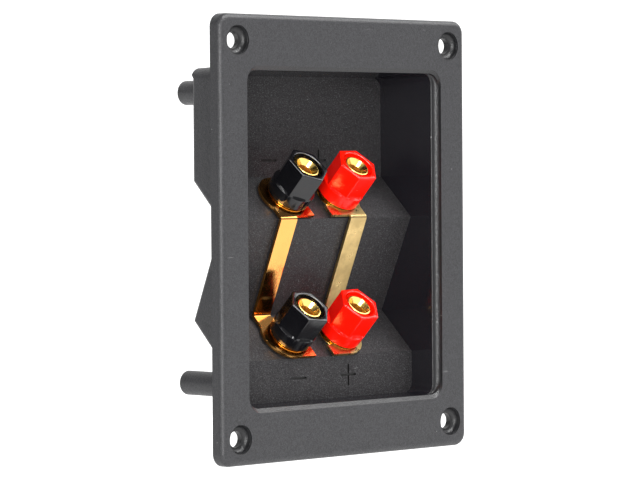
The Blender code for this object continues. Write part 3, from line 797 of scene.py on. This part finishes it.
def housing_tool(cup, grain):
    """The outer shell behind the flange, solid here, with the same steps as the floor."""
    half_x = cup.mouth_x - cup.lip_side - cup.draft / 2 + cup.wall
    half_z = cup.mouth_z - cup.lip_end - cup.draft / 2 + cup.wall
    back = cup.deep + cup.wall + OVERRUN
    rings = [
        rectangle_ring(-cup.thickness / 2, half_x, half_z, cup.housing_corner),
        rectangle_ring(back, half_x - cup.draft / 2, half_z - cup.draft / 2, cup.housing_corner),
    ]
    housing = paint(loft("housing", rings), grain)
    front = -2 * cup.thickness
    steps = steps_tool("housing_steps", cup, front, cup.wall, half_z + OVERRUN, half_x + OVERRUN, 0)
    cut(housing, paint(steps, grain), "INTERSECT")
    bm = bmesh.new()
    bm.from_mesh(housing.data)
    bm.normal_update()
    sides = []
    for edge in bm.edges:
        least, most = sorted(abs(face.normal.x) for face in edge.link_faces)
        if min(vert.co.y for vert in edge.verts) > 0 and least < BACK_FACING and most > SIDE_FACING:
            sides.append(edge)
    bmesh.ops.bevel(bm, geom=sides, offset=cup.housing_edge, segments=5, profile=0.5, affect="EDGES")
    bm.to_mesh(housing.data)
    bm.free()
    return housing


def screw_hole_tool(cup, x, z, lip):
    """A straight rim, a narrow ledge, a hollow bowl and a through hole, for a countersunk screw."""
    top = cup.thickness
    bowl = cup.head - cup.head_ledge
    bowl_deep = top - cup.head_rim - (bowl - cup.hole)
    profile = [(0, top + OVERRUN, 0), (cup.head, top + OVERRUN, 0), (cup.head, top - cup.head_rim, 0.06 * MM)]
    for turn in quarter(6):
        radius = bowl - (bowl - cup.hole) * (1 - cos(turn))
        profile.append((radius, top - cup.head_rim - (bowl - cup.hole) * sin(turn), 0))
    profile += [(cup.hole, bowl_deep - 0.1 * MM, 0), (cup.hole, -OVERRUN, 0), (0, -OVERRUN, 0)]
    tool = lathe(f"screw_hole_{x}_{z}", profile, 56)
    tool.data.transform(Matrix.Translation((x, 0, z)) @ Matrix.Rotation(pi / 2, 4, "X"))
    return paint(tool, lip)


def bar_tool(name, centre, long, wide, deep, upright, grain):
    """A shallow bar with round ends, cut into a wall that faces -Y."""
    end = wide / 2
    reach = long / 2 - end
    outline = arc((reach, 0), end, -90, 90, 8) + arc((-reach, 0), end, 90, 270, 8)
    bar = plate(name, outline, 2 * deep)
    turn = Matrix.Rotation(pi / 2 if upright else 0, 4, "Y")
    bar.data.transform(Matrix.Translation(centre) @ turn @ Matrix.Rotation(pi / 2, 4, "X"))
    return paint(bar, grain)


def build_moulding(cup, post, colours, seed):
    """The moulding: what is added comes first, then the recess, the marks and the post holes."""
    grain = grained_plastic("moulded_grain", colours.moulding, 0.42, 0.2, seed)
    stepped = grained_plastic("moulded_floor", colours.floor, 0.22, 0.5, seed + 2)
    lip, gloss = lip_plastic(colours.lip, seed), glossy_plastic(colours.walls, seed)
    # Painted shade: the grooves of the polarity marks take a near-black material that darkens them as if they
    # were shadowed.
    mark = Finish("mark_painted_shade", colours.marks, roughness=0.6).material
    body = paint(flange_blank(cup), grain)
    for side in (-1, 1):
        for level in (-1, 1):
            cut(body, screw_hole_tool(cup, side * cup.hole_pitch_x / 2, level * cup.hole_pitch_z / 2, lip))
    cut(body, housing_tool(cup, grain), "UNION")
    for side in (-1, 1):
        for level, start in ((1, cup.deep), (-1, cup.shallow)):
            spot = Matrix.Translation((side * cup.boss_x, 0, level * cup.boss_z))
            place = spot @ Matrix.Rotation(-pi / 2, 4, "X")
            low, end = start + cup.wall / 2, cup.boss_end
            rim = 0.25 * MM
            outer = [(0, end, 0), (cup.boss, end, rim), (cup.boss, low, 0), (0, low, 0)]
            boss = lathe(f"standoff_{side}_{level}", outer, 48)
            boss.data.transform(place)
            cut(body, paint(boss, grain), "UNION")
            foot = end - cup.boss_hole_deep
            inner = [
                (0, end + OVERRUN, 0),
                (cup.boss_hole + rim, end + OVERRUN, 0),
                (cup.boss_hole + rim, end, 0),
                (cup.boss_hole, end - rim, 0),
                (cup.boss_hole, foot, 0),
                (0, foot - cup.boss_hole / 2, 0),
            ]
            pilot = lathe(f"pilot_{side}_{level}", inner, 32)
            pilot.data.transform(place)
            cut(body, paint(pilot, grain))
    cut(body, recess_tool(cup, gloss, lip, stepped))
    for row, y, z in (("upper", cup.deep, cup.upper_mark), ("lower", cup.shallow, cup.lower_mark)):
        for side in (-1, 1):
            centre = Vector((side * post.pitch / 2, y, z))
            sizes = (cup.mark_long, cup.mark_wide, cup.mark_deep)
            bar = bar_tool(f"{row}_mark_{side}", centre, *sizes, False, mark)
            if side > 0:
                cut(bar, bar_tool(f"{row}_stroke", centre, *sizes, True, mark), "UNION")
            cut(body, bar)
    for name in POSTS:
        hole = pin(f"{name}_hole", post.hole, -2 * cup.wall, cup.wall, HOLE_SIDES, seat(name))
        cut(body, paint(hole, stepped))
    finish_piece(body, "terminal_cup", "cup", 26)


# Binding posts


def build_stud(name, post, gold, bored):
    """Rear thread, collar, threaded stem and the plug socket down its middle, in one turned bar."""
    edge, chamfer = 0.12 * MM, 0.6 * MM
    profile = [
        (0, post.socket_end - post.socket / 2, 0),
        (post.socket, post.socket_end, 0.2 * MM),
        (post.socket, post.stem_top - post.funnel_deep, 0.15 * MM),
        (post.funnel, post.stem_top - 0.08 * MM, 0.05 * MM),
        (post.funnel + 0.06 * MM, post.stem_top, 0),
        (post.stem, post.stem_top, edge),
        (post.stem, post.collar_top, 0),
        (post.collar, post.collar_top, 0.08 * MM),
        (post.collar, post.collar_low, 0.05 * MM),
        (post.tail, post.collar_low, 0),
        (post.tail, post.tail_end + chamfer, 0.1 * MM),
        (post.tail - chamfer, post.tail_end, 0.05 * MM),
        (0, post.tail_end, 0),
    ]
    stem_ends = post.collar_top + 1.6 * MM, post.stem_top - 0.7 * MM
    tail_ends = post.tail_end + 0.9 * MM, post.rear_top + 0.8 * MM
    threads = (
        thread_on(post.stem, *stem_ends, post.stem_pitch, -0.3 * MM),
        thread_on(post.tail, *tail_ends, post.tail_pitch, -0.26 * MM),
    )
    stud = lathe(
        f"{name}_stud_turning",
        profile,
        threads=threads,
        inner=lambda radius, z: radius <= post.socket + 10 * CLOSE and z > 0,
    )
    across = Matrix.Translation((0, 0, post.wire_hole_z)) @ Matrix.Rotation(pi / 2, 4, "X")
    wire = pin(f"{name}_wire_hole", post.wire_hole, -6 * MM, 6 * MM, 32, across)
    cut(paint(stud, gold, bored), paint(wire, gold))
    finish_piece(stud, f"{name}_stud", "cup", 30, name)


def build_ring(post, node, shape, profile, body, material, sides=64, threads=()):
    """A turned piece on a post, which stands for the post's node of that name."""
    ring = paint(lathe(f"{post}_{node}_{shape}", profile, sides, threads), material)
    finish_piece(ring, f"{post}_{node}", body, post=post)


def hexagon_ring(across_flats, turn, corner, flat_steps):
    """A hexagon's outline with round corners and evenly divided flats, about the origin."""
    turns = [turn + radians(60 * i) for i in range(6)]
    corners = [Vector((cos(a), sin(a), 0)) * (across_flats / 2 / cos(pi / 6)) for a in turns]
    line = rounded(corners, [corner] * 6, CORNER_STEPS, closed=True)
    ring = []
    for i, point in enumerate(line):
        ring.append(point)
        if i % (CORNER_STEPS + 1) == CORNER_STEPS:
            after = line[(i + 1) % len(line)]
            ring += [point.lerp(after, k / flat_steps) for k in range(1, flat_steps)]
    return ring


def scaled(ring, share, z):
    return [Vector((point.x * share, point.y * share, z)) for point in ring]


def round_like(ring, radius, z):
    """A circle with its points at the same angles as the ring's."""
    return [Vector((*(point.xy.normalized() * radius), z)) for point in ring]


def build_cap(name, post, turn, material):
    """A hexagonal cap on a round skirt, with a sloped ledge at each flat's foot and every edge rounded."""
    hexagon = hexagon_ring(post.cap_flats, turn, post.cap_corner, 14)
    foot, skirt_edge, chamfer = 0.3 * MM, 0.13 * MM, 0.22 * MM
    skirt = ((foot, 0), (foot / 3, foot / 3), (0, foot))
    rings = [round_like(hexagon, post.cap - inset, post.cap_low + up) for inset, up in skirt]
    for angle in quarter(3):
        radius = post.cap - skirt_edge * (1 - cos(angle))
        rings.append(round_like(hexagon, radius, post.cap_skirt - skirt_edge + skirt_edge * sin(angle) * 0.8))
    rings += [scaled(hexagon, 1, post.cap_foot + up) for up in (0, 0.06 * MM)]
    for angle in quarter(5):
        share = 1 - post.cap_edge * (1 - cos(angle)) / (post.cap_flats / 2)
        z = post.cap_top - post.cap_edge * (1 - sin(angle))
        rings.append(scaled(hexagon, share, z))
    bore = (
        (chamfer, post.cap_top),
        (chamfer / 4, post.cap_top - chamfer / 3),
        (0, post.cap_top - chamfer),
        (0, post.cap_low + chamfer),
        (chamfer, post.cap_low),
    )
    rings += [round_like(hexagon, post.cap_bore + wider, z) for wider, z in bore]
    cap = paint(loft(f"{name}_cap_moulding", rings, closed=True), material)
    finish_piece(cap, f"{name}_cap", f"{name}_cap", 28, name)


def build_insert(name, post, gold):
    edge, plain = 0.15 * MM, 0.3 * MM
    ends = post.insert_low + plain, post.insert_top - plain
    thread = thread_on(post.insert_hole, *ends, post.stem_pitch, 0.2 * MM)
    profile = [
        (post.insert, post.insert_top, edge),
        (post.insert, post.insert_low, edge),
        (post.insert_hole, post.insert_low, 0),
        (post.insert_hole, post.insert_top, 0),
    ]
    build_ring(name, "cap_insert", "bush", profile, f"{name}_cap", gold, 56, (thread,))


def washer_profile(outer, inner, low, top, edge):
    return [(inner, top, edge / 2), (outer, top, edge), (outer, low, edge), (inner, low, edge / 2)]


def build_tab(name, post, tin):
    """An eye round the stud, and a tongue with a wire hole that points away from the other post."""
    spread = asin(post.tab_wide / 2 / post.tab) * 180 / pi
    end = post.tab_wide / 2
    outline = arc((0, 0), post.tab, spread, 360 - spread, 40)
    outline += arc((post.tab_long - end, 0), end, -90, 90, 18)
    eye = circle((0, 0), post.tail + post.rear_gap, HOLE_SIDES)
    wire_eye = circle((post.tab_long - end, 0), post.tab_eye, 28)
    blade = plate(f"{name}_solder_tab_blade", outline, post.tab_thick, (eye, wire_eye))
    round_edges(blade, 0.07 * MM)
    top = post.rear_top - post.rear_washer_thick - post.rear_gap
    turn = pi if name.endswith("black") else 0
    level = Matrix.Translation((0, 0, top - post.tab_thick / 2))
    blade.data.transform(level @ Matrix.Rotation(turn, 4, "Z"))
    finish_piece(paint(blade, tin), f"{name}_solder_tab", "cup", post=name)


def build_nut(name, post, nickel):
    """A hexagon nut with its corners chamfered at both ends and a threaded hole."""
    top = post.rear_top - post.rear_washer_thick - post.tab_thick - 2 * post.rear_gap
    low = top - post.nut_tall
    hexagon = hexagon_ring(post.nut_flats, 0, 0.12 * MM, 10)
    face = post.nut_flats / 2 - 0.1 * MM
    slope = tan(radians(30))

    def crown(z, away):
        """The hexagon with its corners held inside a cone, at a distance from the nut's end."""
        limit = face + away / slope
        return [Vector((*(p.xy.normalized() * min(p.length, limit)), z)) for p in hexagon]

    levels = [0, 0.08, 0.2, 0.35, 0.45]
    rings = [crown(top - away * MM, away * MM) for away in levels]
    rings += [crown(low + away * MM, away * MM) for away in reversed(levels)]
    hole = post.tail + post.rear_gap
    chamfer = 0.35 * MM
    rings.append(round_like(hexagon, hole + chamfer, low))
    threaded = post.nut_tall - 2 * chamfer
    count = int(threaded / (post.tail_pitch / LEVELS_PER_TURN))
    thread = thread_on(hole, low + chamfer, top - chamfer, post.tail_pitch, 0.2 * MM)
    for k in range(count + 1):
        z = low + chamfer + threaded * k / count
        reaches = [hole + thread_radius(thread, atan2(p.y, p.x), z) for p in hexagon]
        rings.append([Vector((*(p.xy.normalized() * reach), z)) for p, reach in zip(hexagon, reaches)])
    rings.append(round_like(hexagon, hole + chamfer, top))
    nut = paint(loft(f"{name}_rear_nut_hex", rings, closed=True), nickel)
    finish_piece(nut, f"{name}_rear_nut", "cup", post=name)


# Links


def link_outline(link, reach):
    """A link laid flat, as (outward, along) from the upper post, with its hooks open inwards."""
    inner = link.offset - link.wide / 2
    outer = link.offset + link.wide / 2
    start = 90 - asin((outer - link.hook_out) / link.hook) * 180 / pi
    upper, lower = (link.hook_out, 0), (link.hook_out, reach)
    points = arc(upper, link.hook, -90, start, HOOK_STEPS) + arc(lower, link.hook, -start, 90, HOOK_STEPS)
    points += corner_points((-link.tip, reach + link.hook), (-link.tip, reach + link.slot))
    points += arc(lower, link.slot, 90, -90, HOOK_STEPS)
    points += corner_points((-link.tip, reach - link.slot), (-link.tip, reach - link.hook))
    points += corner_points((inner, reach - link.hook), (inner, link.hook))
    points += corner_points((-link.tip, link.hook), (-link.tip, link.slot))
    points += arc(upper, link.slot, 90, -90, HOOK_STEPS)
    points += corner_points((-link.tip, -link.slot), (-link.tip, -link.hook))
    return points


def corner_points(*pairs):
    return [Vector((x, y, 0)) for x, y in pairs]


def link_path(cup, link, polarity):
    """The link's middle line in the YZ plane from post to post, with its bends rounded."""
    middle = link.low + link.thick / 2
    line = floor_line(cup, -middle, cup.mouth_z, -cup.mouth_z)
    ends = [(seat(f"{row}_{polarity}").translation + OUT * middle).yz for row in ROWS]
    corners = [Vector((*ends[0], 0)), line[2], line[3], Vector((*ends[1], 0))]
    return corners, rounded(corners, [link.bend] * len(corners), BEND_STEPS)


def build_link(cup, link, post, polarity, material):
    """A flat blank cut to shape, then bent along the slopes and the steep floor between them."""
    side = -1 if polarity == "black" else 1
    corners, path = link_path(cup, link, polarity)
    reach = [0]
    for a, b in zip(path, path[1:]):
        reach.append(reach[-1] + (b - a).length)
    flat = link_outline(link, reach[-1])
    # The hooks run past both ends of the path, along its first and last straights.
    past = 20 * MM
    path = [path[0] - (path[1] - path[0]).normalized() * past] + path[1:-1]
    path.append(corners[-1] + (corners[-1] - corners[-2]).normalized() * past)
    reach = [-past] + reach[1:-1] + [reach[-1] + past]
    bm = bmesh.new()
    bm.faces.new([bm.verts.new(point) for point in flat])
    for along in reach[1:-1]:
        whole = list(bm.verts) + list(bm.edges) + list(bm.faces)
        bmesh.ops.bisect_plane(bm, geom=whole, dist=1e-6, plane_co=(0, along, 0), plane_no=(0, 1, 0))
    centre_x = side * post.pitch / 2 + link.slip
    for vert in bm.verts:
        outward, along = vert.co.x, vert.co.y
        step = next(i for i in range(1, len(reach)) if along <= reach[i] + 1e-6 or i + 1 == len(reach))
        share = (along - reach[step - 1]) / (reach[step] - reach[step - 1])
        spot = path[step - 1].lerp(path[step], share)
        vert.co = (centre_x + side * outward, spot.x, spot.y)
    bmesh.ops.recalc_face_normals(bm, faces=bm.faces)
    strip = paint(mesh_object(f"{polarity}_link_strip", bm), material)
    skin = strip.modifiers.new("thickness", "SOLIDIFY")
    skin.thickness = link.thick
    skin.offset = 0
    skin.use_even_offset = True
    apply_modifiers(strip)
    round_edges(strip, link.edge, 50)
    finish_piece(strip, f"{polarity}_link", f"{polarity}_link", 30)


# Operators


class CUP_OT_moulding(bpy.types.Operator):
    """Build the flange, the recess and the stepped housing as one moulding"""

    bl_idname = "cup.moulding"
    bl_label = "Moulding"

    def execute(self, context):
        scene = context.scene
        build_moulding(scene.cup_moulding, scene.cup_post, scene.cup_finish, scene.cup_studio.seed)
        return {"FINISHED"}


class CUP_OT_studs(bpy.types.Operator):
    """Build the four gold studs with their sockets and threads"""

    bl_idname = "cup.studs"
    bl_label = "Studs"

    def execute(self, context):
        seed = context.scene.cup_studio.seed
        colours = context.scene.cup_finish
        gold, bored = turned_gold(colours.gold, seed), bored_gold(colours.socket, seed)
        for name in POSTS:
            build_stud(name, context.scene.cup_post, gold, bored)
        return {"FINISHED"}


class CUP_OT_washers(bpy.types.Operator):
    """Build the four clamp washers and the four rear washers"""

    bl_idname = "cup.washers"
    bl_label = "Washers"

    def execute(self, context):
        post = context.scene.cup_post
        colours, seed = context.scene.cup_finish, context.scene.cup_studio.seed
        gold = turned_gold(colours.gold, seed + 5)
        nickel = bright_metal("nickel_plate", colours.nickel, 0.22, seed)
        for name in POSTS:
            clamp = washer_profile(post.washer, post.washer_hole, post.washer_low, post.washer_top, 0.12 * MM)
            build_ring(name, "clamp_washer", "ring", clamp, f"{name}_washer", gold)
            low = post.rear_top - post.rear_washer_thick
            rear = washer_profile(post.rear_washer, post.tail + post.rear_gap, low, post.rear_top, 0.12 * MM)
            build_ring(name, "rear_washer", "ring", rear, "cup", nickel)
        return {"FINISHED"}


class CUP_OT_caps(bpy.types.Operator):
    """Build the two black and the two red hexagonal caps"""

    bl_idname = "cup.caps"
    bl_label = "Caps"

    def execute(self, context):
        post = context.scene.cup_post
        colours, seed = context.scene.cup_finish, context.scene.cup_studio.seed
        plastics = {
            "black": cap_plastic("black_cap_plastic", colours.black_cap, 0.6, 0.5, seed),
            "red": cap_plastic("red_cap_plastic", colours.red_cap, 0.3, 0.32, seed + 1),
        }
        for name, turn in zip(POSTS, post.cap_turns):
            build_cap(name, post, turn, plastics[name.split("_")[1]])
        return {"FINISHED"}


class CUP_OT_inserts(bpy.types.Operator):
    """Build the threaded metal inserts inside the caps"""

    bl_idname = "cup.inserts"
    bl_label = "Cap inserts"

    def execute(self, context):
        gold = turned_gold(context.scene.cup_finish.gold, context.scene.cup_studio.seed + 9)
        for name in POSTS:
            build_insert(name, context.scene.cup_post, gold)
        return {"FINISHED"}


class CUP_OT_tabs(bpy.types.Operator):
    """Build the four solder tabs behind the moulding"""

    bl_idname = "cup.tabs"
    bl_label = "Solder tabs"

    def execute(self, context):
        colours, seed = context.scene.cup_finish, context.scene.cup_studio.seed
        tin = bright_metal("tin_plate", colours.tin, 0.32, seed + 2)
        for name in POSTS:
            build_tab(name, context.scene.cup_post, tin)
        return {"FINISHED"}


class CUP_OT_nuts(bpy.types.Operator):
    """Build the four nuts behind the moulding"""

    bl_idname = "cup.nuts"
    bl_label = "Rear nuts"

    def execute(self, context):
        colours, seed = context.scene.cup_finish, context.scene.cup_studio.seed
        nickel = bright_metal("nickel_nut", colours.nickel, 0.25, seed + 4)
        for name in POSTS:
            build_nut(name, context.scene.cup_post, nickel)
        return {"FINISHED"}


class CUP_OT_links(bpy.types.Operator):
    """Build the two bent gold strips that join the posts in pairs"""

    bl_idname = "cup.links"
    bl_label = "Links"

    def execute(self, context):
        scene = context.scene
        colours, seed = scene.cup_finish, scene.cup_studio.seed
        golds = {
            "black": strip_gold("gold_polished", colours.black_link, 0.12, 0.12, seed),
            "red": strip_gold("gold_satin", colours.red_link, 0.3, 0.75, seed + 1),
        }
        for polarity in POLARITIES:
            build_link(scene.cup_moulding, scene.cup_link, scene.cup_post, polarity, golds[polarity])
        return {"FINISHED"}


class CUP_OT_stage(bpy.types.Operator):
    """Set up the camera, the white surroundings, the lights and the floor"""

    bl_idname = "cup.stage"
    bl_label = "Stage"

    def execute(self, context):
        scene = context.scene
        studio = scene.cup_studio
        scene.view_settings.view_transform = "Standard"
        aim_camera(scene, studio)
        light_room(scene, studio)
        lay_floor(studio)
        return {"FINISHED"}


def aim_camera(scene, studio):
    fore, down = cos(studio.pitch), sin(studio.pitch)
    forward = Vector((sin(studio.yaw) * fore, cos(studio.yaw) * fore, -down))
    level = Vector((cos(studio.yaw), -sin(studio.yaw), 0))
    upright = level.cross(forward)
    right = cos(studio.roll) * level + sin(studio.roll) * upright
    up = cos(studio.roll) * upright - sin(studio.roll) * level
    data = bpy.data.cameras.new("camera")
    data.lens = studio.lens
    camera = new_object("camera", data)
    place = Matrix((right, up, -forward)).transposed().to_4x4()
    place.translation = Vector(studio.target) - forward * studio.distance
    camera.matrix_world = place
    scene.camera = camera


def softbox(name, towards, distance, size, power):
    """A square area light that faces the cup from a direction."""
    data = bpy.data.lights.new(name, "AREA")
    data.shape = "SQUARE"
    data.size = size
    data.energy = power
    lamp = new_object(name, data)
    way = Vector(towards).normalized()
    lamp.matrix_world = Matrix.Translation(way * distance) @ way.to_track_quat("Z", "Y").to_matrix().to_4x4()


def light_room(scene, studio):
    world = bpy.data.worlds.new("white_room")
    world.use_nodes = True
    background = world.node_tree.nodes["Background"]
    background.inputs["Color"].default_value = (1, 1, 1, 1)
    background.inputs["Strength"].default_value = studio.surroundings
    scene.world = world
    softbox("camera_softbox", (-0.75, -0.75, 0.12), 1.1, 0.45, 12.5)
    softbox("overhead_softbox", (0.2, -0.5, 0.84), 0.9, 0.45, 10)
    softbox("right_softbox", (0.7, -0.29, 0.64), 0.9, 0.55, 3.5)


def lay_floor(studio):
    """A pale floor and a backdrop behind it, both lit from within so that no shadow shows on them."""
    white = Finish("studio_white", (0.3, 0.3, 0.3), roughness=0.7, emission_color=(1, 1, 1, 1))
    white.shader.inputs["Emission Strength"].default_value = studio.white
    way = Vector((sin(studio.yaw), cos(studio.yaw), 0))
    upright = way.to_track_quat("Z", "Y").to_matrix().to_4x4()
    places = {
        "studio_floor": Matrix.Translation((0, 0, LOADED_BOUNDS[0].z - 0.02 * MM)),
        "studio_backdrop": Matrix.Translation(way * studio.floor_size / 4) @ upright,
    }
    for name, place in places.items():
        bm = bmesh.new()
        bmesh.ops.create_grid(bm, x_segments=1, y_segments=1, size=studio.floor_size / 2)
        sheet = paint(mesh_object(name, bm), white.material)
        sheet.matrix_world = place


class CUP_PT_panel(bpy.types.Panel):
    """Lists the operators and the settings of the terminal cup"""

    bl_idname = "CUP_PT_panel"
    bl_label = "Terminal cup"
    bl_space_type = "VIEW_3D"
    bl_region_type = "UI"
    bl_category = "Terminal cup"

    def draw(self, context):
        for operator in OPERATORS:
            self.layout.operator(operator.bl_idname)
        for group in SETTINGS:
            settings = getattr(context.scene, group)
            box = self.layout.box()
            for name in settings.__annotations__:
                box.prop(settings, name)


SETTINGS = {
    "cup_moulding": CupSettings,
    "cup_post": PostSettings,
    "cup_link": LinkSettings,
    "cup_finish": FinishSettings,
    "cup_studio": StudioSettings,
}
OPERATORS = (
    CUP_OT_moulding,
    CUP_OT_studs,
    CUP_OT_washers,
    CUP_OT_caps,
    CUP_OT_inserts,
    CUP_OT_tabs,
    CUP_OT_nuts,
    CUP_OT_links,
    CUP_OT_stage,
)


def register():
    for cls in (*SETTINGS.values(), *OPERATORS, CUP_PT_panel):
        bpy.utils.register_class(cls)
    for name, group in SETTINGS.items():
        setattr(bpy.types.Scene, name, PointerProperty(type=group))


def unregister():
    for name in SETTINGS:
        delattr(bpy.types.Scene, name)
    for cls in (CUP_PT_panel, *reversed(OPERATORS), *reversed(tuple(SETTINGS.values()))):
        bpy.utils.unregister_class(cls)


def main():
    register()
    for operator in OPERATORS:
        group, name = operator.bl_idname.split(".")
        getattr(getattr(bpy.ops, group), name)()


if __name__ == "__main__":
    main()
